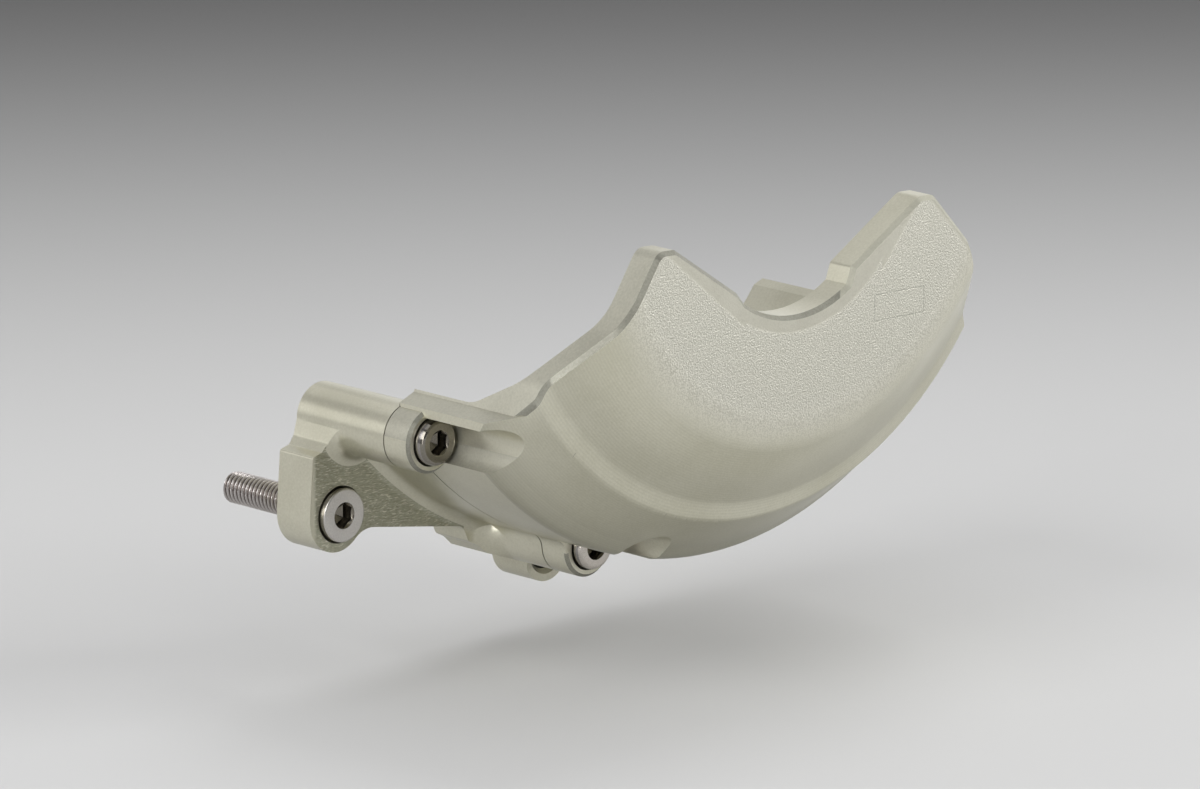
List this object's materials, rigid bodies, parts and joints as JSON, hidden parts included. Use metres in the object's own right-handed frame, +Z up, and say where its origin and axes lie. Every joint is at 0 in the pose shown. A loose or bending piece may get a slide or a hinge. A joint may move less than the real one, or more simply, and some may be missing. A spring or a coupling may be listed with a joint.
{
  "type": "engine cover protector",
  "caption": "Two-piece milled guard that wraps an engine's generator cover: a domed crescent shell bolted to a bracket with mounting eyes.",
  "frame": {"origin": "on the axis of the mounting bolt, in the face that seats on the engine", "axes": "+X along the engine from the mounting bolt to the far end of the guard, -Y away from the engine, +Z up"},
  "size_m": [0.1309, 0.0858, 0.0765],
  "materials": {
    "shell": "blasted face and turned flanks, anodised a warm grey",
    "bracket": "milled and anodised a warm grey",
    "bolts": "satin stainless"
  },
  "bodies": {
    "root": {"cover_shell": "shell", "mount_bracket": "bracket", "mounting_bolt": "bolts", "upper_joining_bolt": "bolts", "lower_joining_bolt": "bolts"}
  },
  "joints": []
}
